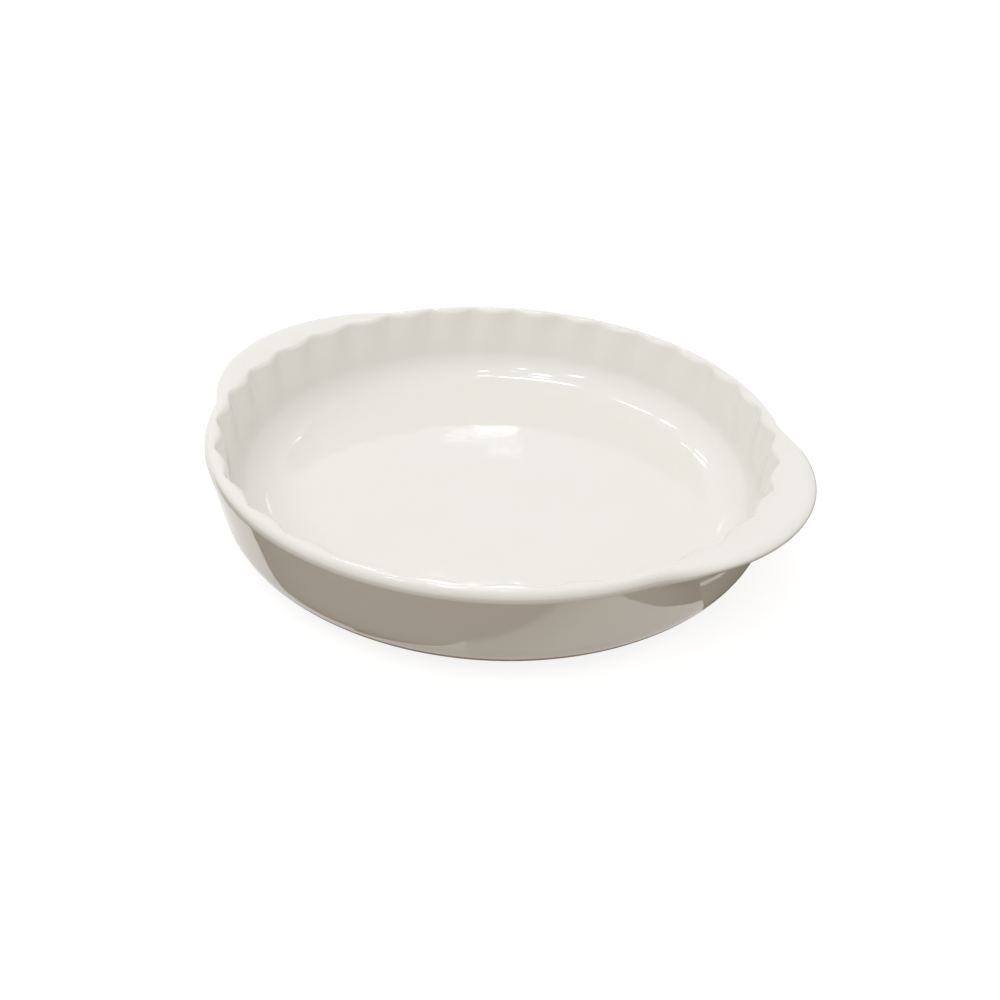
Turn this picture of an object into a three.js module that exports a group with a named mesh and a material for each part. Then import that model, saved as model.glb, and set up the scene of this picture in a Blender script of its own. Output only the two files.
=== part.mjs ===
// Round glazed ceramic pie dish: a fluted bowl, two flat ears luted to its rim and a bare foot ring.
// Sizes are in millimetres. +Z is up, the ears lie along X and the dish stands on z = 0.
import * as THREE from 'three';
import { mergeVertices } from 'three/addons/utils/BufferGeometryUtils.js';

// Outside of the bowl
const RIM_DIAMETER = 260;
const RIM_HEIGHT = 46;
const RIM_EDGE_RADIUS = 3.4;
const WALL_TAPER_DEG = 8.9;
const BASE_CORNER_RADIUS = 18;

// Inside of the bowl
const FLOOR_THICKNESS = 6;
const WALL_BEHIND_FLUTES = 4.8;
const LIP_RADIUS = 1.4;
const COVE_RADIUS = 18;
const FLUTE_COUNT = 32;
const FLUTE_DEPTH = 2.9;
const FLUTE_LENGTH = 28;
const FLUTE_RIDGE_EXPONENT = 0.7;

// Ears
const EAR_WIDTH = 143.5;
const EAR_REACH = 13;
const EAR_BLEND_RADIUS = 55;
const EAR_THICKNESS = 4.6;
const EAR_RISE = 2;
const EAR_UNDER_FILLET = 1.5;
const EAR_END_REACH = 0.4;
const SLIP_SEAM = 0.3;

// Foot ring
const FOOT_HEIGHT = 1.5;
const FOOT_WIDTH = 5;
const FOOT_SETBACK = 1;
const FOOT_CHAMFER = 0.4;

// Facets
const STEPS_PER_FLUTE = 6;
const CORNER_STEPS = 4;
const RIM_STEPS = 4;
const LIP_STEPS = 2;
const INNER_WALL_STEPS = 4;
const COVE_STEPS = 5;
const EAR_STEPS = 36;
const EAR_EDGE_STEPS = 6;
const EAR_FILLET_STEPS = 3;
const FOOT_SEGMENTS = 96;

// Sizes that follow from the ones above
const QUARTER_TURN = Math.PI / 2;
const rimRadius = RIM_DIAMETER / 2;
const taper = THREE.MathUtils.degToRad(WALL_TAPER_DEG);
const floorHeight = FOOT_HEIGHT + FLOOR_THICKNESS;
const lipRound = Math.min(LIP_RADIUS, WALL_BEHIND_FLUTES / 2);
const rimRound = Math.min(RIM_EDGE_RADIUS, WALL_BEHIND_FLUTES - lipRound);
const taperStart = RIM_HEIGHT - rimRound;
const fluteFoot = Math.max(floorHeight, RIM_HEIGHT - FLUTE_LENGTH);

// Plain outer radius of the wall at a height
function wallRadius(height) {
  const drop = Math.max(0, taperStart - height);
  return rimRadius - drop * Math.tan(taper);
}

// Points of an arc in the plane of radius (x) and height (y)
function arc(centre, radius, from, to, steps) {
  const points = [];
  for (let i = 0; i <= steps; i += 1) {
    const angle = from + (to - from) * i / steps;
    points.push(new THREE.Vector2(centre.x + radius * Math.cos(angle), centre.y + radius * Math.sin(angle)));
  }
  return points;
}

// Centre of the arc that rounds the tapered wall, drawn in by an inset, into a level face
function cornerCentre(levelHeight, radius, inset) {
  const tangentHeight = levelHeight + radius * (1 - Math.sin(taper));
  const tangentRadius = wallRadius(tangentHeight) - inset;
  return new THREE.Vector2(tangentRadius - radius * Math.cos(taper), levelHeight + radius);
}

const baseCorner = cornerCentre(FOOT_HEIGHT, BASE_CORNER_RADIUS, 0);
const coveCentre = cornerCentre(floorHeight, COVE_RADIUS, WALL_BEHIND_FLUTES);

// Plan outline of an ear: a tip arc joined to the rim circle by a hollow blend arc on each side
const earTip = rimRadius + EAR_REACH;
const blendStart = Math.asin(EAR_WIDTH / 2 / rimRadius);
const blendCentre = new THREE.Vector2(Math.cos(blendStart), Math.sin(blendStart))
  .multiplyScalar(rimRadius + EAR_BLEND_RADIUS);
const tipToBlend = blendCentre.x - earTip;
const earTipRadius = (tipToBlend ** 2 + blendCentre.y ** 2 - EAR_BLEND_RADIUS ** 2)
  / (2 * (EAR_BLEND_RADIUS - tipToBlend));
const tipCentre = new THREE.Vector2(earTip - earTipRadius, 0);
const blendShare = EAR_BLEND_RADIUS / (EAR_BLEND_RADIUS + earTipRadius);
const blendEnd = blendCentre.clone().lerp(tipCentre, blendShare).angle();

// Distance from the dish's axis to the outline, at an angle from the ear's own axis
function earOutline(angle) {
  const side = Math.abs(angle);
  const direction = new THREE.Vector2(Math.cos(side), Math.sin(side));
  if (side <= blendEnd) {
    const along = direction.dot(tipCentre);
    return along + Math.sqrt(along ** 2 - tipCentre.lengthSq() + earTipRadius ** 2);
  }
  const along = direction.dot(blendCentre);
  return along - Math.sqrt(Math.max(0, along ** 2 - blendCentre.lengthSq() + EAR_BLEND_RADIUS ** 2));
}

// Angle where the ear is worn down to its end face, by the cosine rule on the blend arc
const earRoot = rimRadius + SLIP_SEAM;
const earEndRadius = earRoot + EAR_END_REACH;
const earEndCosine = (earEndRadius ** 2 + blendCentre.lengthSq() - EAR_BLEND_RADIUS ** 2)
  / (2 * earEndRadius * blendCentre.length());
const earEnd = blendStart - Math.acos(earEndCosine);

// Turns sections of radius and height, each at its own angle, into one closed body
function loft(sections, angles, ring) {
  const rows = sections.map((section, i) => section.map(
    (point) => new THREE.Vector3(point.x * Math.cos(angles[i]), point.x * Math.sin(angles[i]), point.y),
  ));
  const corners = [];
  const addTriangle = (a, b, c) => {
    if (!a.equals(b) && !b.equals(c) && !c.equals(a)) {
      corners.push(...a, ...b, ...c);
    }
  };
  const joins = ring ? rows.length : rows.length - 1;
  for (let i = 0; i < joins; i += 1) {
    const here = rows[i];
    const next = rows[(i + 1) % rows.length];
    for (let j = 0; j + 1 < here.length; j += 1) {
      addTriangle(here[j], next[j], next[j + 1]);
      addTriangle(here[j], next[j + 1], here[j + 1]);
    }
  }
  if (!ring) {
    const first = rows[0];
    const last = rows[rows.length - 1];
    for (let j = 1; j + 1 < first.length; j += 1) {
      addTriangle(first[0], first[j], first[j + 1]);
      addTriangle(last[0], last[j + 1], last[j]);
    }
  }
  const geometry = new THREE.BufferGeometry();
  geometry.setAttribute('position', new THREE.Float32BufferAttribute(corners, 3));
  const merged = mergeVertices(geometry);
  merged.computeVertexNormals();
  return merged;
}

// Angles of evenly spaced sections right round the dish
function turn(count) {
  return Array.from({ length: count }, (_, i) => 2 * Math.PI * i / count);
}

// How square the rim's outer edge is: rounded, but square where an ear is luted on
function rimSquareness(angle) {
  const fromEar = Math.abs(Math.atan2(Math.sin(angle), Math.abs(Math.cos(angle))));
  return 1 - THREE.MathUtils.smoothstep(fromEar, earEnd, blendStart);
}

// Rim edge from the wall to the top face, with its round pushed out towards the square corner
function rimEdge(angle) {
  const squareness = rimSquareness(angle);
  const centre = new THREE.Vector2(rimRadius - rimRound, RIM_HEIGHT - rimRound);
  return arc(new THREE.Vector2(), rimRound, 0, QUARTER_TURN, RIM_STEPS).map((offset) => {
    const toCorner = rimRound / Math.max(offset.x, offset.y);
    return offset.multiplyScalar(1 + squareness * (toCorner - 1)).add(centre);
  });
}

// How far a flute's broad ridge stands in from the narrow hollows, fading down the wall
function fluteInset(angle, height) {
  const ridge = (1 + Math.cos(FLUTE_COUNT * angle)) / 2;
  const fade = THREE.MathUtils.smoothstep(height, fluteFoot, RIM_HEIGHT);
  return FLUTE_DEPTH * fade * ridge ** FLUTE_RIDGE_EXPONENT;
}

// Inner face from the lip down the fluted wall and the cove to the edge of the floor
function fluteSection(angle) {
  const lipFoot = RIM_HEIGHT - lipRound;
  const lipCentre = new THREE.Vector2(rimRadius - WALL_BEHIND_FLUTES + lipRound, lipFoot);
  const cove = arc(coveCentre, COVE_RADIUS, -taper, -QUARTER_TURN, COVE_STEPS);
  const wall = [];
  for (let i = 1; i < INNER_WALL_STEPS; i += 1) {
    const height = THREE.MathUtils.lerp(lipFoot, cove[0].y, i / INNER_WALL_STEPS);
    wall.push(new THREE.Vector2(wallRadius(height) - WALL_BEHIND_FLUTES, height));
  }
  const hollow = [...arc(lipCentre, lipRound, QUARTER_TURN, Math.PI, LIP_STEPS), ...wall, ...cove];
  return hollow.map((point) => new THREE.Vector2(point.x - fluteInset(angle, point.y), point.y));
}

function dishBodyGeometry() {
  const angles = turn(FLUTE_COUNT * STEPS_PER_FLUTE);
  const sections = angles.map((angle) => [
    new THREE.Vector2(0, FOOT_HEIGHT),
    ...arc(baseCorner, BASE_CORNER_RADIUS, -QUARTER_TURN, -taper, CORNER_STEPS),
    ...rimEdge(angle),
    ...fluteSection(angle),
    new THREE.Vector2(0, floorHeight),
  ]);
  return loft(sections, angles, true);
}

// Hollow fillet under an ear, from the wall out to the ear's flat underside
function earFillet(radius, underside) {
  const centre = new THREE.Vector2(radius, underside - radius);
  return arc(centre, radius, Math.PI, QUARTER_TURN, EAR_FILLET_STEPS)
    .map((point) => new THREE.Vector2(wallRadius(point.y) + SLIP_SEAM + point.x, point.y));
}

// Rounded outer edge of an ear, from its underside to its top
function earEdge(edgeStart, reach, top) {
  const unitArc = arc(new THREE.Vector2(), 1, -QUARTER_TURN, QUARTER_TURN, EAR_EDGE_STEPS);
  return unitArc.map((point) => new THREE.Vector2(
    edgeStart + reach * point.x,
    top + EAR_THICKNESS / 2 * (point.y - 1),
  ));
}

// One radial cut through an ear: root on the wall, fillet underneath, rounded edge, flat rising top
function earSection(angle) {
  const reach = earOutline(angle) - earRoot;
  const edgeReach = Math.min(EAR_THICKNESS / 2, reach);
  const flatReach = reach - edgeReach;
  const underside = RIM_HEIGHT - EAR_THICKNESS;
  const edgeTop = RIM_HEIGHT + EAR_RISE * flatReach / EAR_REACH;
  const rootKnee = new THREE.Vector2(earRoot, Math.max(taperStart, underside));
  return [
    rootKnee,
    ...earFillet(Math.min(EAR_UNDER_FILLET, flatReach), underside),
    ...earEdge(earRoot + flatReach, edgeReach, edgeTop),
    new THREE.Vector2(earRoot, RIM_HEIGHT),
    rootKnee,
  ];
}

function earGeometry() {
  const angles = Array.from({ length: EAR_STEPS + 1 }, (_, i) => earEnd * (2 * i / EAR_STEPS - 1));
  return loft(angles.map(earSection), angles, false);
}

function footRingGeometry() {
  const outer = baseCorner.x - FOOT_SETBACK;
  const inner = outer - FOOT_WIDTH;
  const section = [
    new THREE.Vector2(inner, FOOT_HEIGHT),
    new THREE.Vector2(inner, FOOT_CHAMFER),
    new THREE.Vector2(inner + FOOT_CHAMFER, 0),
    new THREE.Vector2(outer - FOOT_CHAMFER, 0),
    new THREE.Vector2(outer, FOOT_CHAMFER),
    new THREE.Vector2(outer, FOOT_HEIGHT),
    new THREE.Vector2(inner, FOOT_HEIGHT),
  ];
  const angles = turn(FOOT_SEGMENTS);
  return loft(angles.map(() => section), angles, true);
}

// A piece of the dish with its own finish
function piece(name, geometry, color, roughness) {
  const mesh = new THREE.Mesh(geometry, new THREE.MeshStandardMaterial({ color, roughness, metalness: 0 }));
  mesh.name = name;
  return mesh;
}

const GLAZE = { color: 0xf0eee8, roughness: 0.1 };
const BARE_CLAY = { color: 0xe4dccd, roughness: 0.85 };

const dish = new THREE.Group();
dish.add(piece('dish_body', dishBodyGeometry(), GLAZE.color, GLAZE.roughness));
dish.add(piece('ear_right', earGeometry(), GLAZE.color, GLAZE.roughness));
const earLeft = piece('ear_left', earGeometry(), GLAZE.color, GLAZE.roughness);
earLeft.rotation.z = Math.PI;
dish.add(earLeft);
dish.add(piece('foot_ring', footRingGeometry(), BARE_CLAY.color, BARE_CLAY.roughness));

export default dish;
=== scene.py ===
# %% [markdown]
# # A fluted pie dish in white glaze
# The real object is one piece of fired ceramic: a round bowl with upright flutes inside, two flat ears
# that run out of its rim, and a bare foot ring underneath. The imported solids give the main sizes, and
# Blender gives the looks. Everything is in metres, +Z is up, the ears lie along X and the dish stands
# on z = 0.

import math

import bpy
import numpy as np
from mathutils import Matrix, Vector


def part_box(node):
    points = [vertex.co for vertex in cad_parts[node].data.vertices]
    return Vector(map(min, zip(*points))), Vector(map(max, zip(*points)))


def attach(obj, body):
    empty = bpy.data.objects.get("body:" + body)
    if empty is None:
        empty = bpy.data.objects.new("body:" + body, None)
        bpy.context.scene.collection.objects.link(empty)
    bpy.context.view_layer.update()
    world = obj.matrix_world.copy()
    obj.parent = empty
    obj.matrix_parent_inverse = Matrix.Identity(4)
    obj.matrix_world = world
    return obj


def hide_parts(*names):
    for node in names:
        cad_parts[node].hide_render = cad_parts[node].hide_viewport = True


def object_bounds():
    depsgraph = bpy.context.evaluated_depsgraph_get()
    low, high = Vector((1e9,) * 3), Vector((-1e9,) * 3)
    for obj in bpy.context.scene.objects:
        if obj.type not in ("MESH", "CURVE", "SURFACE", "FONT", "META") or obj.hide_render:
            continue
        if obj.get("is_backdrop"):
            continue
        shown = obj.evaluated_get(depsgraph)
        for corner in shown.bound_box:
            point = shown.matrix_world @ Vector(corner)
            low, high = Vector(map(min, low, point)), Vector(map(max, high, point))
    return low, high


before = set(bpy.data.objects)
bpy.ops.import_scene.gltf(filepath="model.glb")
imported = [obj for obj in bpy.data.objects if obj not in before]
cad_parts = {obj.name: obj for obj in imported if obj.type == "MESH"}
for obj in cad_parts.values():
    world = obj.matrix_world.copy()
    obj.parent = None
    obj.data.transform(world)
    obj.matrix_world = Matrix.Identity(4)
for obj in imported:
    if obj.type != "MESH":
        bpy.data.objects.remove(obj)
cad_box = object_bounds()
MM = 0.001
print("nodes in the frame:", sorted(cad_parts))

# %% [markdown]
# ## Sizes
# A size that is written twice soon has two values. So what the solids already say is read from their
# boxes: the rim, the height, the reach of the ears and the foot ring. The smaller sizes, such as the
# round of an edge or the depth of a flute, follow in the step that needs them.

# %% Read the sizes
body_low, body_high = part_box("dish_body")
RIM_RADIUS = body_high.y
RIM_TOP = body_high.z
UNDERSIDE = body_low.z
EAR_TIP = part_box("ear_right")[1].x
EAR_REACH = EAR_TIP - RIM_RADIUS
FOOT_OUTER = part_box("foot_ring")[1].x
print(f"rim {2 * RIM_RADIUS / MM:.0f} mm across and {RIM_TOP / MM:.1f} mm high")
print(f"ears {2 * EAR_TIP / MM:.0f} mm from tip to tip")

# %% [markdown]
# ## The camera
# The photograph looks down into the dish from its front right. A camera can be set by eye, but a dish
# has regular shapes to go by, so this one was fitted to the circle of the rim, the even spacing of the
# flutes, the ears and the outline. It leans by three degrees, as a camera held by hand does.

# %% Set up the camera
CAMERA_AZIMUTH = math.radians(30.81)
CAMERA_ELEVATION = math.radians(28.12)
CAMERA_DISTANCE = 411.2 * MM
CAMERA_ROLL = math.radians(3.13)
AIM = Vector((38.8 * MM, -61.25 * MM, RIM_TOP))
FOCAL_PIXELS = 893.4
PHOTO_PIXELS = 1000
SENSOR = 36.0
NEAREST_SEEN = 10 * MM

camera_data = bpy.data.cameras.new("photo_camera")
camera_data.sensor_width = SENSOR
camera_data.lens = SENSOR * FOCAL_PIXELS / PHOTO_PIXELS
camera_data.clip_start = NEAREST_SEEN
camera = bpy.data.objects.new("photo_camera", camera_data)
bpy.context.scene.collection.objects.link(camera)
flat, lift = math.cos(CAMERA_ELEVATION), math.sin(CAMERA_ELEVATION)
back = Vector((math.sin(CAMERA_AZIMUTH) * flat, -math.cos(CAMERA_AZIMUTH) * flat, lift))
camera.location = Vector((0, 0, RIM_TOP)) + CAMERA_DISTANCE * back
look = (AIM - camera.location).to_track_quat("-Z", "Y").to_matrix()
camera.rotation_euler = (look @ Matrix.Rotation(CAMERA_ROLL, 3, "Z")).to_euler()
bpy.context.scene.camera = camera
print("camera at", [round(c, 3) for c in camera.location], f"lens {camera_data.lens:.1f} mm")

# %% [markdown]
# ## The half-section
# A potter can make such a bowl with a profile held against a turning wheel, and Spin does the same. So
# the first job is the profile: one chain of points from the middle of the underside, out and up the wall,
# over the rim, and down to the middle of the floor. Flats need few points and rounds need many. The
# rounds are arcs of circles and ovals, so the helpers give an arc, the leaning wall, and the arc that
# turns the wall into a level face.

# %% Write the helpers for the profile
TAPER = math.radians(8.9)
RIM_ROUND = (3.3 * MM, 4.2 * MM)
RIM_EQUATOR = RIM_TOP - RIM_ROUND[1]
OUT, UP, IN, DOWN = 0, 90, 180, -90


def arc(centre, size, start, end, steps):
    """Points of a round or oval arc in the plane of radius and height, both ends included."""
    wide, tall = size
    angles = np.radians(np.linspace(start, end, steps + 1))
    return [(centre[0] + wide * math.cos(a), centre[1] + tall * math.sin(a)) for a in angles]


def between(start, end, steps):
    """The places that part a stretch into equal steps, without its two ends."""
    return np.linspace(start, end, steps + 1)[1:-1]


def wall_radius(height):
    """Outer radius of the plain leaning wall."""
    return RIM_RADIUS - np.maximum(0.0, RIM_EQUATOR - height) * math.tan(TAPER)


def corner(level, size, inset):
    """Centre of the arc from the leaning wall into a level face, and the angle where they meet."""
    wide, tall = size
    turn = math.atan(math.tan(TAPER) * tall / wide)
    tangent = level + tall * (1 - math.sin(turn))
    centre = (wall_radius(tangent) - inset - wide * math.cos(turn), level + tall)
    return centre, -math.degrees(turn)


print(f"the plain wall leans in by {(RIM_RADIUS - wall_radius(UNDERSIDE)) / MM:.1f} mm")

# %% [markdown]
# Each point also carries what happens to it later: how much of the flute presses it in, and how much of
# the ear pulls it out. The first stretch has neither. It runs along the flat underside, round the corner
# and up the plain wall to just below the ears.

# %% Plan the underside and the wall
BASE_CORNER = (18 * MM, 18 * MM)
EAR_THICKNESS = 4.4 * MM
EAR_FILLET = 1.5 * MM
UNDERSIDE_STEPS = 7
CORNER_STEPS = 14
WALL_STEPS = 7
section = []


def add_loop(radius, height, flute=0.0, ear=0.0, ear_height=None):
    """Adds one point of the profile, which Spin turns into one loop round the dish."""
    section.append((radius, height, flute, ear, height if ear_height is None else ear_height))


base_centre, base_meets = corner(UNDERSIDE, BASE_CORNER, 0)
for share in np.linspace(0, 1, UNDERSIDE_STEPS + 1)[:-1]:
    add_loop(share * base_centre[0], UNDERSIDE)
for radius, height in arc(base_centre, BASE_CORNER, DOWN, base_meets, CORNER_STEPS):
    add_loop(radius, height)
ear_foot = RIM_TOP - EAR_THICKNESS - EAR_FILLET
for height in between(section[-1][1], ear_foot, WALL_STEPS):
    add_loop(wall_radius(height), height)
print("points up to the ears:", len(section))

# %% [markdown]
# ## Rim and ears
# An ear could be a second piece, but here it is the rim drawn out, so the glaze runs over it without a
# seam. Where there is no ear, the points under the rim lie evenly up the plain wall. Where there is one,
# the same points take the shape of an ear cut across: a hollow fillet, a flat underside and a rounded
# edge. So each point stores both heights, and the share of the ear's reach by which it moves out.

# %% Plan the underside of an ear
EAR_EDGE = 5 * MM
EAR_TOP_DROP = 2.4 * MM
FILLET_STEPS = 9
EAR_FLAT_STEPS = 4
EAR_EDGE_STEPS = 7

ear_underside = RIM_TOP - EAR_THICKNESS
ear_equator = RIM_TOP - EAR_TOP_DROP
edge_start = EAR_REACH - EAR_EDGE
edge_size = (EAR_EDGE, ear_equator - ear_underside)
ear_cut = arc((EAR_FILLET, ear_foot), (EAR_FILLET, EAR_FILLET), IN, UP, FILLET_STEPS)
ear_cut += [(out, ear_underside) for out in between(EAR_FILLET, edge_start, EAR_FLAT_STEPS)]
ear_cut += arc((edge_start, ear_equator), edge_size, DOWN, OUT, EAR_EDGE_STEPS)
plain_heights = np.linspace(ear_foot, RIM_EQUATOR, len(ear_cut))
for (out, ear_height), height in zip(ear_cut, plain_heights):
    add_loop(wall_radius(height), height, ear=out / EAR_REACH, ear_height=ear_height)
print("points up to the widest line of the rim:", len(section))

# %% [markdown]
# Above its widest line the rim closes with a quarter of an oval, and the ear with a lower and longer one.
# Both have the same count of points, so one can turn into the other along the outline. On the flat top,
# from the rim's edge to the lip, the flutes grow from nothing to half their depth.

# %% Plan the top of the rim
WALL_BEHIND_FLUTES = 4.8 * MM
LIP_ROUND = (1.2 * MM, 2.1 * MM)
LIP_SHARE = 0.5
RIM_STEPS = 10
RIM_FLAT_STEPS = 4

rim_top_radius = RIM_RADIUS - RIM_ROUND[0]
ear_edge_centre = (RIM_ROUND[0] - EAR_EDGE, ear_equator)
plain_edge = arc((rim_top_radius, RIM_EQUATOR), RIM_ROUND, OUT, UP, RIM_STEPS)
ear_edge = arc(ear_edge_centre, (EAR_EDGE, EAR_TOP_DROP), OUT, UP, RIM_STEPS)
for (radius, height), (out, ear_height) in zip(plain_edge[1:], ear_edge[1:]):
    ear_share = 1 + (out - (radius - rim_top_radius)) / EAR_REACH
    add_loop(radius, height, ear=ear_share, ear_height=ear_height)
lip_top = RIM_RADIUS - WALL_BEHIND_FLUTES + LIP_ROUND[0]
for share in between(1, 0, RIM_FLAT_STEPS):
    radius = lip_top + share * (rim_top_radius - lip_top)
    add_loop(radius, RIM_TOP, flute=(1 - share) * LIP_SHARE, ear=share * ear_share)
print("points up to the lip:", len(section))

# %% [markdown]
# ## The fluted inside
# The flutes have half their depth on top of the lip, which gives it its scallops. Round the lip they
# grow to their full depth, and below it they die away into the cove. So on the wall and in the cove, a
# point's share of the flute follows from its height.

# %% Plan the inside
FLOOR_THICKNESS = 6 * MM
COVE = (24 * MM, 16 * MM)
FLUTE_LENGTH = 31 * MM
FLUTE_FULL = 2 * MM
LIP_STEPS = 8
INNER_WALL_STEPS = 9
COVE_STEPS = 18
FLOOR_STEPS = 9


def smooth(value, low, high):
    """Eased step from 0 at low to 1 at high."""
    share = np.clip((value - low) / (high - low), 0, 1)
    return share * share * (3 - 2 * share)


def flute_share(height):
    """How much of the full flute depth is left at a height."""
    return smooth(height, RIM_TOP - FLUTE_LENGTH, RIM_TOP - FLUTE_FULL)


floor_top = UNDERSIDE + FLOOR_THICKNESS
lip_foot = RIM_TOP - LIP_ROUND[1]
lip = arc((lip_top, lip_foot), LIP_ROUND, UP, IN, LIP_STEPS)
for (radius, height), share in zip(lip, np.linspace(LIP_SHARE, 1, len(lip))):
    add_loop(radius, height, share * flute_share(height))
cove_centre, cove_meets = corner(floor_top, COVE, WALL_BEHIND_FLUTES)
cove = arc(cove_centre, COVE, cove_meets, DOWN, COVE_STEPS)
for height in between(lip_foot, cove[0][1], INNER_WALL_STEPS):
    add_loop(wall_radius(height) - WALL_BEHIND_FLUTES, height, flute_share(height))
for radius, height in cove:
    add_loop(radius, height, flute_share(height))
for share in np.linspace(1, 0, FLOOR_STEPS + 1)[1:]:
    add_loop(share * cove_centre[0], floor_top)
print("points in the whole section:", len(section))

# %% [markdown]
# ## Spinning the bowl
# The chain is drawn as by hand: a plane is merged to one vertex, which is moved to the first point and
# then extruded from point to point. Spin carries the chain once round the Z axis. The seam and the two
# middle points fall together and are merged, and then the normals are turned out. Each flute gets twenty
# columns of faces, so that its ridge looks round.

# %% Draw the chain and spin it
FLUTES = 32
COLUMNS_PER_FLUTE = 20
MERGE_DISTANCE = MM / 1000


def draw_chain(name, points):
    """A new mesh object with one chain of edges through points of radius and height."""
    bpy.ops.object.select_all(action="DESELECT")
    bpy.ops.mesh.primitive_plane_add(size=MM)
    piece = bpy.context.object
    piece.name = piece.data.name = name
    bpy.ops.object.mode_set(mode="EDIT")
    bpy.ops.mesh.select_all(action="SELECT")
    bpy.ops.mesh.merge(type="CENTER")
    bpy.ops.transform.translate(value=(points[0][0], 0, points[0][1]))
    for here, there in zip(points, points[1:]):
        step = (there[0] - here[0], 0, there[1] - here[1])
        bpy.ops.mesh.extrude_region_move(TRANSFORM_OT_translate={"value": step})
    return piece


def spin_chain(steps):
    """Spins the chain that is being edited once round Z and closes it."""
    bpy.ops.mesh.select_all(action="SELECT")
    bpy.ops.mesh.spin(steps=steps, angle=2 * math.pi, center=(0, 0, 0), axis=(0, 0, 1))
    bpy.ops.mesh.select_all(action="SELECT")
    bpy.ops.mesh.remove_doubles(threshold=MERGE_DISTANCE)
    bpy.ops.mesh.normals_make_consistent(inside=False)
    bpy.ops.object.mode_set(mode="OBJECT")


dish = draw_chain("glazed_dish", section)
spin_chain(FLUTES * COLUMNS_PER_FLUTE)
print("spun bowl:", len(dish.data.vertices), "vertices,", len(dish.data.polygons), "faces")

# %% [markdown]
# ## The outline of an ear
# Seen from above, an ear leaves the rim circle on a hollow arc and ends in a round tip, as it does in the
# solids. The tip's radius isn't free: its arc has to touch both hollow arcs and reach just as far as the
# solids do. So it is worked out, and then the outline is a distance at every angle round the dish.

# %% Work out the outline of an ear
EAR_WIDTH = 143.5 * MM
EAR_BLEND = 55 * MM

blend_angle = math.asin(EAR_WIDTH / 2 / RIM_RADIUS)
blend_centre = (RIM_RADIUS + EAR_BLEND) * np.array((math.cos(blend_angle), math.sin(blend_angle)))
tip_gap = blend_centre[0] - EAR_TIP
tip_round = (tip_gap**2 + blend_centre[1] ** 2 - EAR_BLEND**2) / (2 * (EAR_BLEND - tip_gap))
tip_centre = np.array((EAR_TIP - tip_round, 0.0))
touch = blend_centre + (tip_centre - blend_centre) * EAR_BLEND / (EAR_BLEND + tip_round)
touch_angle = math.atan2(touch[1], touch[0])


def ear_reach(angle):
    """How far the outline stands out from the rim circle, at angles round the dish."""
    side = np.abs(np.arctan2(np.sin(angle), np.abs(np.cos(angle))))
    ray = np.stack((np.cos(side), np.sin(side)), axis=-1)
    on_tip = ray @ tip_centre
    tip = on_tip + np.sqrt(np.maximum(on_tip**2 - tip_centre @ tip_centre + tip_round**2, 0))
    on_blend = ray @ blend_centre
    inside_blend = on_blend**2 - blend_centre @ blend_centre + EAR_BLEND**2
    blend = on_blend - np.sqrt(np.maximum(inside_blend, 0))
    outline = np.where(side <= touch_angle, tip, blend)
    return np.where(side < blend_angle, outline - RIM_RADIUS, 0)


print(f"the ear's tip is an arc of {tip_round / MM:.0f} mm")
print(f"the ear meets the rim {math.degrees(blend_angle):.1f} degrees off its axis")

# %% [markdown]
# ## Pressing the flutes and pulling the ears
# By hand this would be proportional editing, thirty-two times over. A rule is more even: each vertex
# finds its point on the section and its angle round the dish. A ridge of a flute moves in towards the
# axis. A vertex of an ear moves out, by its share of the reach at that angle, and the ear rises a little
# towards its tip.

# %% Find each vertex on the section
mesh = dish.data
places = np.empty(3 * len(mesh.vertices))
mesh.vertices.foreach_get("co", places)
places = places.reshape(-1, 3)
angle = np.arctan2(places[:, 1], places[:, 0])
plain_radius = np.hypot(places[:, 0], places[:, 1])
plain_height = places[:, 2]
table = np.array(section)
miss = (plain_radius[:, None] - table[:, 0]) ** 2 + (plain_height[:, None] - table[:, 1]) ** 2
flute, ear, ear_height = table[np.argmin(miss, axis=1), 2:].T
print(f"vertices lie within {np.sqrt(miss.min(axis=1).max()) / MM:.4f} mm of the section")

# %% Shape the bowl
FLUTE_DEPTH = 2.9 * MM
RIDGE_EXPONENT = 0.7
EAR_RISE = 2 * MM
FULL_EAR_SHARE = 0.5

ridge = ((1 + np.cos(FLUTES * angle)) / 2) ** RIDGE_EXPONENT
reach = ear_reach(angle)
grown = smooth(reach / EAR_REACH, 0, FULL_EAR_SHARE)
rise = EAR_RISE * np.maximum(reach - RIM_ROUND[0], 0) / EAR_REACH
height = plain_height + (grown * (ear_height - plain_height) * (ear > 0) + ear * rise)
under_rim = (ear > 0) & (ear < 1) & (plain_height < RIM_EQUATOR)
radius = plain_radius + under_rim * (wall_radius(height) - wall_radius(plain_height))
radius += ear * reach - flute * FLUTE_DEPTH * ridge
shaped = np.stack((radius * np.cos(angle), radius * np.sin(angle), height), axis=-1)
mesh.vertices.foreach_set("co", shaped.ravel())
mesh.update()
print("dish now reaches", np.round(shaped.max(axis=0) / MM, 1), "mm")

# %% [markdown]
# Glaze rounds over the edges of a dish, so the faces shouldn't show. Flat shading would show them all.
# Smoothing by angle hides them, and keeps a crease only where two faces meet at more than forty degrees.

# %% Smooth the dish
SMOOTH_ANGLE = math.radians(40)

bpy.ops.object.select_all(action="DESELECT")
dish.select_set(True)
bpy.context.view_layer.objects.active = dish
bpy.ops.object.shade_smooth_by_angle(angle=SMOOTH_ANGLE)
print("smooth faces:", sum(p.use_smooth for p in mesh.polygons))

# %% [markdown]
# ## The foot ring
# Such a dish stands on a ring of bare clay, wiped clean of glaze so that it doesn't stick in the kiln.
# The photograph doesn't show it, so this one is a plain guess. It could be a torus, but such a ring is a
# low block whose edges were sponged soft. So it is drawn as a closed chain and spun like the bowl.

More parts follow.
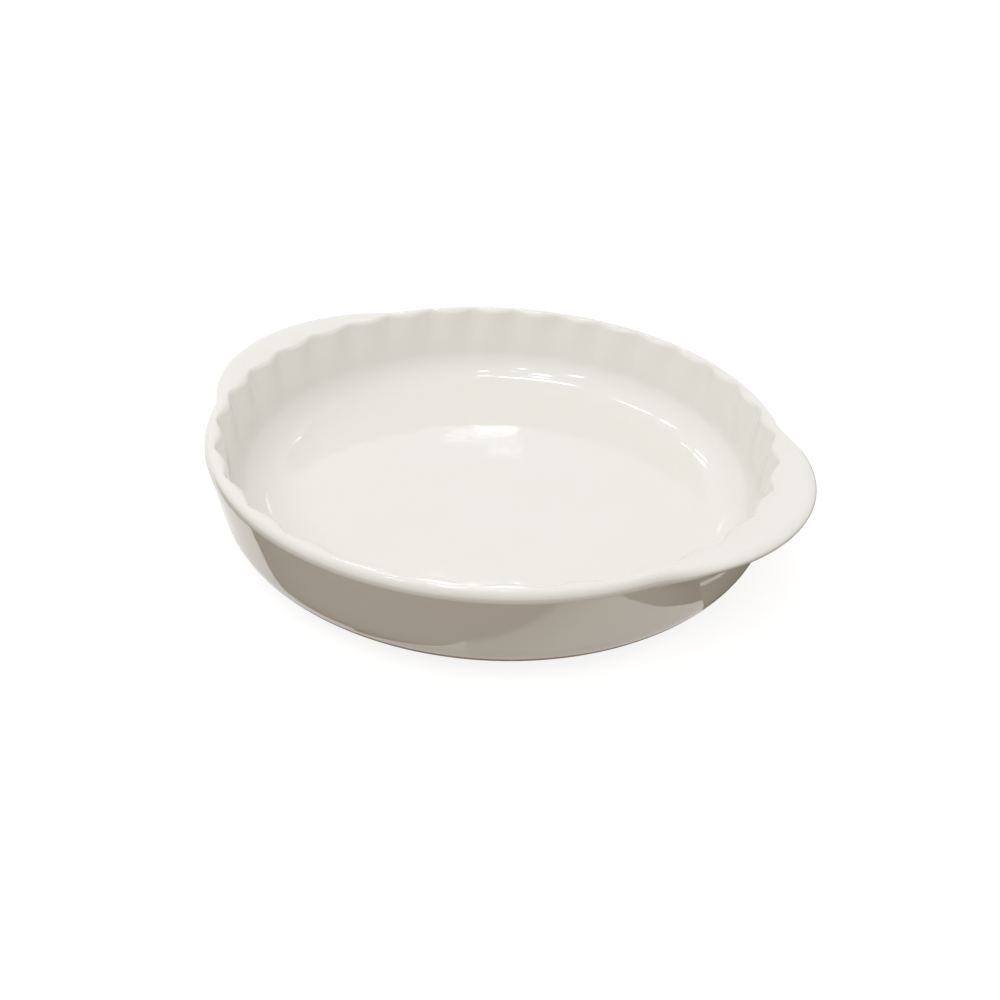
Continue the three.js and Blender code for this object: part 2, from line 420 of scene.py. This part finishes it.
# %% Spin the foot ring
FOOT_WIDTH = 5 * MM
FOOT_ROUND = 0.6 * MM
FOOT_STEPS = 5
QUARTER_TURN = 90

foot_inner = FOOT_OUTER - FOOT_WIDTH
foot_edge = (FOOT_ROUND, FOOT_ROUND)
inner_centre = (foot_inner + FOOT_ROUND, FOOT_ROUND)
outer_centre = (FOOT_OUTER - FOOT_ROUND, FOOT_ROUND)
foot_section = [(foot_inner, UNDERSIDE)]
foot_section += arc(inner_centre, foot_edge, IN, IN + QUARTER_TURN, FOOT_STEPS)
foot_section += arc(outer_centre, foot_edge, DOWN, OUT, FOOT_STEPS)
foot_section += [(FOOT_OUTER, UNDERSIDE), (foot_inner, UNDERSIDE)]
foot = draw_chain("foot_ring_clay", foot_section)
spin_chain(FLUTES * COLUMNS_PER_FLUTE // 2)
bpy.ops.object.shade_smooth_by_angle(angle=SMOOTH_ANGLE)
print("foot ring:", len(foot.data.polygons), "faces")

# %% [markdown]
# ## The glaze
# The glaze is a glassy white coat, a little warm, and it isn't perfectly even. Here it runs thin on the
# crest of the lip and at the top of each ridge. There the clay shows through, slightly darker and warmer.
# On one side of the dish, one flank of each ridge takes the same darker colour as painted shade, the
# shade of light that falls across the ridges from one side. A texture wouldn't know where the ridges are,
# so the thinness and the painted shade are stored on the mesh as an attribute.

# %% Store where the glaze runs thin and where shade is painted
PAINTED_SHADE_SIDE = math.radians(150)
SHADED_FLANK_SHIFT = math.radians(2)
CREST_SHARE = 0.65
CREST_HEIGHT = 4 * MM
CLEARLY_MARKED = 0.5

# Painted shade: one flank of each ridge on one side of the dish is darkened, as if lit from the side.
shaded_side = ((1 + np.cos(angle - PAINTED_SHADE_SIDE)) / 2) ** 2
shaded_flank = (1 + np.cos(FLUTES * (angle + SHADED_FLANK_SHIFT))) / 2
ridge_crest = flute * ridge * smooth(height, RIM_TOP - CREST_HEIGHT, RIM_TOP)
lip_crest = smooth(height, lip_foot, RIM_TOP) * (flute > 0) * (ear == 0)
thin_and_shaded = np.maximum(flute * shaded_flank * shaded_side, CREST_SHARE * np.maximum(ridge_crest, lip_crest))
attribute = mesh.attributes.new("glaze_thin_and_shade", "FLOAT", "POINT")
attribute.data.foreach_set("value", thin_and_shaded.astype(np.float32))
# The count takes in the painted shade on the flanks as well as the thin glaze.
print(f"thin glaze on {np.count_nonzero(thin_and_shaded > CLEARLY_MARKED)} vertices")

# %% [markdown]
# A node material is a chain of small parts, and most of them are made in the same way. So one helper adds
# a node and fills its inputs, by a link where it is given a socket and by a value otherwise. The others
# build on it: a noise, a bump of a real height, and a mix of two colours.

# %% Write the helpers for materials
MIX_SHARE, MIX_FIRST, MIX_SECOND, MIX_RESULT = 0, 6, 7, 2
PLAIN_ROUGHNESS = 0.5


def new_material(name):
    """A new node material, its node tree and its shader."""
    material = bpy.data.materials.new(name)
    material.use_nodes = True
    tree = material.node_tree
    return material, tree, tree.nodes["Principled BSDF"]


def add_node(tree, kind, inputs, **settings):
    """A new node with its settings, and its inputs linked to sockets or set to values."""
    node = tree.nodes.new("ShaderNode" + kind)
    for name, value in settings.items():
        setattr(node, name, value)
    for place, value in inputs.items():
        if isinstance(value, bpy.types.NodeSocket):
            tree.links.new(value, node.inputs[place])
        else:
            node.inputs[place].default_value = value
    return node


def object_coordinates(tree):
    """The place on the object, in its own units."""
    return add_node(tree, "TexCoord", {}).outputs["Object"]


def noise(tree, coordinates, scale, detail, roughness=PLAIN_ROUGHNESS):
    """A noise texture on the given coordinates."""
    inputs = {"Vector": coordinates, "Scale": scale, "Detail": detail, "Roughness": roughness}
    return add_node(tree, "TexNoise", inputs).outputs["Fac"]


def bump(tree, height, distance, strength, below=None):
    """The normal of a bump of a real height, laid over another normal if one is given."""
    inputs = {"Height": height, "Distance": distance, "Strength": strength}
    if below is not None:
        inputs["Normal"] = below
    return add_node(tree, "Bump", inputs).outputs["Normal"]


def mix_colours(tree, share, first, second):
    """A mix of two colours, each a value or a socket."""
    inputs = {MIX_SHARE: share, MIX_FIRST: first, MIX_SECOND: second}
    return add_node(tree, "Mix", inputs, data_type="RGBA").outputs[MIX_RESULT]


print("helpers for materials are ready")

# %% [markdown]
# The glaze itself is one glossy shader with a high index of refraction, so that it mirrors strongly.
# Faint clouds vary its white. Wide slow waves, as the flow of the melt leaves them, bend the reflections,
# and a finer ripple breaks up their edges.

# %% Mix the glaze
GLAZE_WHITE = (0.885, 0.874, 0.842, 1)
GLAZE_CLOUD = (0.865, 0.851, 0.812, 1)
# The darker warm colour of thin glaze, also laid on ridge flanks as painted shade.
GLAZE_THIN_AND_SHADE = (0.79, 0.755, 0.68, 1)
THIN_AND_SHADE_WEIGHT = 0.31
CLOUD_SCALE, CLOUD_DETAIL = 28, 3
WAVE_SCALE, WAVE_DETAIL = 45, 1
WAVE_HEIGHT, WAVE_STRENGTH = 0.12 * MM, 0.9
RIPPLE_SCALE, RIPPLE_DETAIL = 210, 2
RIPPLE_HEIGHT, RIPPLE_STRENGTH = 0.02 * MM, 1
GLAZE_ROUGHNESS = 0.05
GLAZE_IOR = 1.68


def glaze_material():
    """Glossy white glaze that runs thin, with painted shade on ridge flanks, where the mesh says so."""
    material, tree, shader = new_material("white_glaze")
    coordinates = object_coordinates(tree)
    cloud = noise(tree, coordinates, CLOUD_SCALE, CLOUD_DETAIL)
    colour = mix_colours(tree, cloud, GLAZE_CLOUD, GLAZE_WHITE)
    # The mesh attribute marks thin glaze and painted shade; both take the darker colour.
    thin_and_shade_share = add_node(tree, "Attribute", {}, attribute_name="glaze_thin_and_shade").outputs["Fac"]
    weaken = add_node(tree, "Math", {0: thin_and_shade_share, 1: THIN_AND_SHADE_WEIGHT}, operation="MULTIPLY")
    colour = mix_colours(tree, weaken.outputs[0], colour, GLAZE_THIN_AND_SHADE)
    tree.links.new(colour, shader.inputs["Base Color"])
    wave = noise(tree, coordinates, WAVE_SCALE, WAVE_DETAIL)
    ripple = noise(tree, coordinates, RIPPLE_SCALE, RIPPLE_DETAIL)
    waved = bump(tree, wave, WAVE_HEIGHT, WAVE_STRENGTH)
    rippled = bump(tree, ripple, RIPPLE_HEIGHT, RIPPLE_STRENGTH, below=waved)
    tree.links.new(rippled, shader.inputs["Normal"])
    shader.inputs["Roughness"].default_value = GLAZE_ROUGHNESS
    shader.inputs["IOR"].default_value = GLAZE_IOR
    return material


dish.data.materials.append(glaze_material())
print("glaze nodes:", len(dish.data.materials[0].node_tree.nodes))

# %% [markdown]
# ## The bare clay
# Unglazed clay is matt and slightly sandy, and a ring is a little stained where it has stood on shelves.
# One flat colour would look like plastic. So a broad noise mixes two colours, and a very fine one is the
# grit.

# %% Mix the bare clay
CLAY = (0.74, 0.68, 0.57, 1)
CLAY_STAIN = (0.56, 0.48, 0.37, 1)
STAIN_SCALE, STAIN_DETAIL, STAIN_ROUGHNESS = 60, 5, 0.65
GRIT_SCALE, GRIT_DETAIL, GRIT_ROUGHNESS = 2500, 3, 0.7
GRIT_HEIGHT, GRIT_STRENGTH = 0.15 * MM, 0.6
CLAY_ROUGHNESS = 0.9


def clay_material():
    """Matt bare clay with fine grit."""
    material, tree, shader = new_material("bare_clay")
    coordinates = object_coordinates(tree)
    stain = noise(tree, coordinates, STAIN_SCALE, STAIN_DETAIL, STAIN_ROUGHNESS)
    tree.links.new(mix_colours(tree, stain, CLAY, CLAY_STAIN), shader.inputs["Base Color"])
    grit = noise(tree, coordinates, GRIT_SCALE, GRIT_DETAIL, GRIT_ROUGHNESS)
    tree.links.new(bump(tree, grit, GRIT_HEIGHT, GRIT_STRENGTH), shader.inputs["Normal"])
    shader.inputs["Roughness"].default_value = CLAY_ROUGHNESS
    return material


foot.data.materials.append(clay_material())
print("clay nodes:", len(foot.data.materials[0].node_tree.nodes))

# %% [markdown]
# ## The floor
# The background is plain white. A floor lit until it is white would light the dish as well, so this one
# glows only where the camera or a reflection looks at it. The paper under the glow still takes the soft
# shadow. The light that the floor throws back up is that of a warm table, which suits the shaded outside
# of the dish.

# %% Lay the floor
FLOOR_SIZE = 8
FLOOR_PAPER = (0.28, 0.28, 0.28, 1)
TABLE_BOUNCE = (0.2, 0.126, 0.045, 1)
GLOW_START, GLOW_END = 0.2, 0.8
GLOW_NEAR, GLOW_FAR = 0.84, 1


def seen_directly(tree):
    """1 for camera, glossy and transmission rays, 0 for light that bounces."""
    path = add_node(tree, "LightPath", {})
    seen = path.outputs["Is Camera Ray"]
    for name in ("Is Glossy Ray", "Is Transmission Ray"):
        either = {0: seen, 1: path.outputs[name]}
        seen = add_node(tree, "Math", either, operation="MAXIMUM").outputs[0]
    return seen


def floor_material():
    """White to look at, warm to bounce light."""
    material, tree, shader = new_material("studio_floor")
    tree.nodes.remove(shader)
    distance = add_node(tree, "VectorMath", {0: object_coordinates(tree)}, operation="LENGTH")
    stretch = {"From Min": GLOW_START, "From Max": GLOW_END, "To Min": GLOW_NEAR, "To Max": GLOW_FAR}
    whiten = add_node(tree, "MapRange", {"Value": distance.outputs["Value"], **stretch})
    glow = add_node(tree, "Emission", {"Strength": whiten.outputs["Result"]})
    paper = add_node(tree, "BsdfDiffuse", {"Color": FLOOR_PAPER})
    white = add_node(tree, "AddShader", {0: paper.outputs[0], 1: glow.outputs[0]})
    table_top = add_node(tree, "BsdfDiffuse", {"Color": TABLE_BOUNCE})
    looks = {0: seen_directly(tree), 1: table_top.outputs[0], 2: white.outputs[0]}
    choice = add_node(tree, "MixShader", looks)
    tree.links.new(choice.outputs[0], tree.nodes["Material Output"].inputs["Surface"])
    return material


bpy.ops.object.select_all(action="DESELECT")
bpy.ops.mesh.primitive_plane_add(size=FLOOR_SIZE)
floor = bpy.context.object
floor.name = "studio_floor"
floor.data.materials.append(floor_material())
floor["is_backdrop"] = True
print("floor laid,", FLOOR_SIZE, "m wide")

# %% [markdown]
# ## Dark cards
# A glossy wall shows what stands around it, and among white things alone it fades into the background. A
# product photographer lays dark cards beside such a piece, and so does this script. Only reflections see
# the cards: they throw no shadow, and the camera looks through them. A card can also thin out towards its
# far edge, so that the edge of its reflection is soft.

# %% Make a card
CARD_LIFT = 0.5 * MM
HALF_CARD = 0.5
FADE_STOPS = ((0, 1), (0.15, 0.4), (1, 0))
ROUND_CARD_SIDES = 128


def fade_far_edge(tree, shader, share):
    """Thins a card out towards its far edge, over a share of its length."""
    split = add_node(tree, "SeparateXYZ", {0: object_coordinates(tree)})
    stretch = {"From Min": HALF_CARD - share, "From Max": HALF_CARD}
    along = add_node(tree, "MapRange", {"Value": split.outputs["Y"], **stretch})
    ramp = add_node(tree, "ValToRGB", {"Fac": along.outputs["Result"]})
    stops = ramp.color_ramp.elements
    stops.new(FADE_STOPS[1][0])
    for stop, (place, solid) in zip(stops, FADE_STOPS):
        stop.position = place
        stop.color = (solid, solid, solid, 1)
    clear = add_node(tree, "BsdfTransparent", {})
    looks = {0: ramp.outputs["Color"], 1: clear.outputs[0], 2: shader.outputs[0]}
    choice = add_node(tree, "MixShader", looks)
    tree.links.new(choice.outputs[0], tree.nodes["Material Output"].inputs["Surface"])


def dark_card(name, low, high, colour, turn=0.0, fade=0.0, is_round=False):
    """A matt card on the floor that only reflections see, turned about its far left corner."""
    bpy.ops.object.select_all(action="DESELECT")
    if is_round:
        bpy.ops.mesh.primitive_circle_add(vertices=ROUND_CARD_SIDES, radius=HALF_CARD, fill_type="NGON")
    else:
        bpy.ops.mesh.primitive_plane_add(size=2 * HALF_CARD)
    card = bpy.context.object
    card.name = name
    size = Vector((high[0] - low[0], high[1] - low[1], 0))
    far_left = Vector((low[0], high[1], CARD_LIFT))
    card.scale = (size.x, size.y, 1)
    card.location = far_left + Matrix.Rotation(turn, 3, "Z") @ Vector((size.x / 2, -size.y / 2, 0))
    card.rotation_euler = (0, 0, turn)
    card.visible_camera = card.visible_diffuse = False
    card.visible_shadow = card.visible_transmission = False
    material, tree, shader = new_material(name)
    shader.inputs["Base Color"].default_value = colour
    shader.inputs["Specular IOR Level"].default_value = 0
    if fade:
        fade_far_edge(tree, shader, fade / size.y)
    card.data.materials.append(material)
    card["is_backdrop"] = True


print("a card lies", CARD_LIFT / MM, "mm above the floor")

# %% [markdown]
# Four dark cards lie in front of the dish and at its front right, where the camera sees the outer wall.
# One of them is turned, and its far edge fades. Two grey cards lie at the right side, with a slit between
# them. A round one under the dish stands for the shade at its foot.

# %% Lay the dark cards
CARD_DARK = (0.06, 0.05, 0.04, 1)
CARD_GREY = (0.32, 0.3, 0.26, 1)
CARD_SHADE = (0.5, 0.46, 0.4, 1)
CARD_SPAN = 1.5
CARD_LEFT_FRONT = -127 * MM
CARD_MIDDLE = 10 * MM
CARD_FRONT = -124 * MM
CARD_BEND = 57 * MM
CARD_BEND_ANGLE = math.radians(16.7)
CARD_FADE = 18 * MM
CARD_FADE_OVERHANG = 17 * MM
CARD_RIGHT = 132 * MM
CARD_RIGHT_END = -26 * MM
CARD_SIDE = 120 * MM
CARD_SLIT = (140 * MM, 142 * MM)
SHADE_RADIUS = 121 * MM

bend_right = CARD_BEND + (CARD_RIGHT - CARD_BEND) / math.cos(CARD_BEND_ANGLE)
bend_low, bend_high = (CARD_BEND, -CARD_SPAN), (bend_right, CARD_FRONT + CARD_FADE_OVERHANG)
shade_low, shade_high = (-SHADE_RADIUS, -SHADE_RADIUS), (SHADE_RADIUS, SHADE_RADIUS)
dark_card("left_card", (-CARD_SPAN, -CARD_SPAN), (CARD_MIDDLE, CARD_LEFT_FRONT), CARD_DARK)
dark_card("front_card", (CARD_MIDDLE, -CARD_SPAN), (CARD_RIGHT, CARD_FRONT), CARD_DARK)
dark_card("bend_card", bend_low, bend_high, CARD_DARK, turn=CARD_BEND_ANGLE, fade=CARD_FADE)
dark_card("right_card", (CARD_RIGHT, -CARD_SPAN), (CARD_SPAN, CARD_RIGHT_END), CARD_DARK)
dark_card("near_side_card", (CARD_SIDE, CARD_RIGHT_END), (CARD_SLIT[0], CARD_SPAN), CARD_GREY)
dark_card("far_side_card", (CARD_SLIT[1], CARD_RIGHT_END), (CARD_SPAN, CARD_SPAN), CARD_GREY)
dark_card("foot_shade", shade_low, shade_high, CARD_SHADE, is_round=True)

# %% [markdown]
# ## The background
# The world does two jobs. It is the even light of a pale room, and it is the white behind the dish. One
# colour can't be both, so Light Path chooses: rays that see it directly find white, and the rest find the
# room.

# %% Paint the background
ROOM_FILL = (0.655, 0.645, 0.618, 1)
WHITE = (1, 1, 1, 1)

world = bpy.data.worlds.new("white_studio")
bpy.context.scene.world = world
world.use_nodes = True
sky = world.node_tree
room = sky.nodes["Background"]
room.inputs["Color"].default_value = ROOM_FILL
white = add_node(sky, "Background", {"Color": WHITE})
choice = add_node(sky, "MixShader", {0: seen_directly(sky), 1: room.outputs[0], 2: white.outputs[0]})
sky.links.new(choice.outputs[0], sky.nodes["World Output"].inputs["Surface"])
bpy.context.scene.view_settings.view_transform = "Standard"
print("room light", ROOM_FILL[:3])

# %% [markdown]
# ## Light
# One broad soft lamp hangs over the dish. It lights the floor and the inside, and little of it reaches
# the outer wall, which leans away from it. A smaller lamp would throw hard shadows. The broad one would
# show in the glaze as one large pale square, so reflections don't see it.

# %% Hang the broad lamp
SOFT_AZIMUTH, SOFT_ELEVATION = -151, 72
SOFT_DISTANCE = 1.6
SOFT_SIZE = (1.7, 1.7)
SOFT_WATTS = 11.2


def area_light(name, direction, distance, size, watts, glossy):
    """A rectangular lamp facing the dish from a direction in degrees; azimuth 0 is +Y, 90 is +X."""
    data = bpy.data.lights.new(name, "AREA")
    data.shape = "RECTANGLE"
    data.size, data.size_y = size
    data.energy = watts
    lamp = bpy.data.objects.new(name, data)
    bpy.context.scene.collection.objects.link(lamp)
    turn, lift = (math.radians(degrees) for degrees in direction)
    flat = math.cos(lift)
    away = Vector((math.sin(turn) * flat, math.cos(turn) * flat, math.sin(lift)))
    lamp.location = Vector((0, 0, floor_top)) + distance * away
    lamp.rotation_euler = (-away).to_track_quat("-Z", "Y").to_euler()
    lamp.visible_glossy = glossy
    lamp.visible_diffuse = not glossy


soft_direction = (SOFT_AZIMUTH, SOFT_ELEVATION)
area_light("overhead_soft", soft_direction, SOFT_DISTANCE, SOFT_SIZE, SOFT_WATTS, glossy=False)
print("broad lamp:", SOFT_WATTS, "W")

# %% [markdown]
# What the glaze mirrors are small lamps far away, which light nothing else. Long ones behind the dish
# make the streak on its floor and the glint on its front lip, and ceiling panels make the short bright
# dashes in the cove. They could be painted on, but real lamps give marks that move with the view. They
# are ten metres off, so each stands in nearly the same direction from every part of the dish.

# %% Hang the lamps that the glaze mirrors
MIRRORED_DISTANCE = 10.0
PANEL_RADIANCE = 12

# Azimuth and elevation in degrees, width and height in metres, radiance.
LONG_LAMPS = (
    (-30.9, 29.25, 0.48, 0.08, 3),
    (-33.4, 29.5, 0.44, 0.05, 2.2),
    (-30.2, 30.4, 0.4, 0.05, 1.8),
    (-33, 40.3, 1.4, 0.14, 4),
)
# Azimuth and elevation in degrees, width and height in metres.
CEILING_PANELS = (
    (-44, 70.5, 1.7, 0.4),
    (-53.5, 58.8, 0.35, 0.5),
    (-55, 56.2, 0.4, 0.25),
    (-56, 52.3, 0.5, 0.3),
    (-35.5, 41.9, 0.2, 0.7),
    (-43.5, 42.3, 0.25, 0.4),
    (-60, 78.2, 0.4, 0.45),
    (-110, 82, 0.6, 0.5),
    (-147.5, 66.7, 0.4, 1.1),
    (174, 77, 0.4, 0.45),
    (-134, 87.5, 0.25, 0.35),
    (14, 85.6, 0.35, 0.4),
    (-25.5, 71.4, 0.25, 0.35),
)

small_lamps = LONG_LAMPS + tuple((*panel, PANEL_RADIANCE) for panel in CEILING_PANELS)
for number, (azimuth, elevation, wide, tall, radiance) in enumerate(small_lamps):
    watts = radiance * math.pi * wide * tall
    name = f"small_lamp_{number}"
    area_light(name, (azimuth, elevation), MIRRORED_DISTANCE, (wide, tall), watts, glossy=True)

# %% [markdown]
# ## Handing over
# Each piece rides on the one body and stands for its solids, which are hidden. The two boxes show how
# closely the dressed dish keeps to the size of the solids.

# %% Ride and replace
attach(dish, "root")
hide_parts("dish_body", "ear_right", "ear_left")
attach(foot, "root")
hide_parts("foot_ring")

dressed_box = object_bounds()
for title, box in (("CAD box", cad_box), ("dressed box", dressed_box)):
    print(title, [[round(v, 4) for v in c] for c in box])
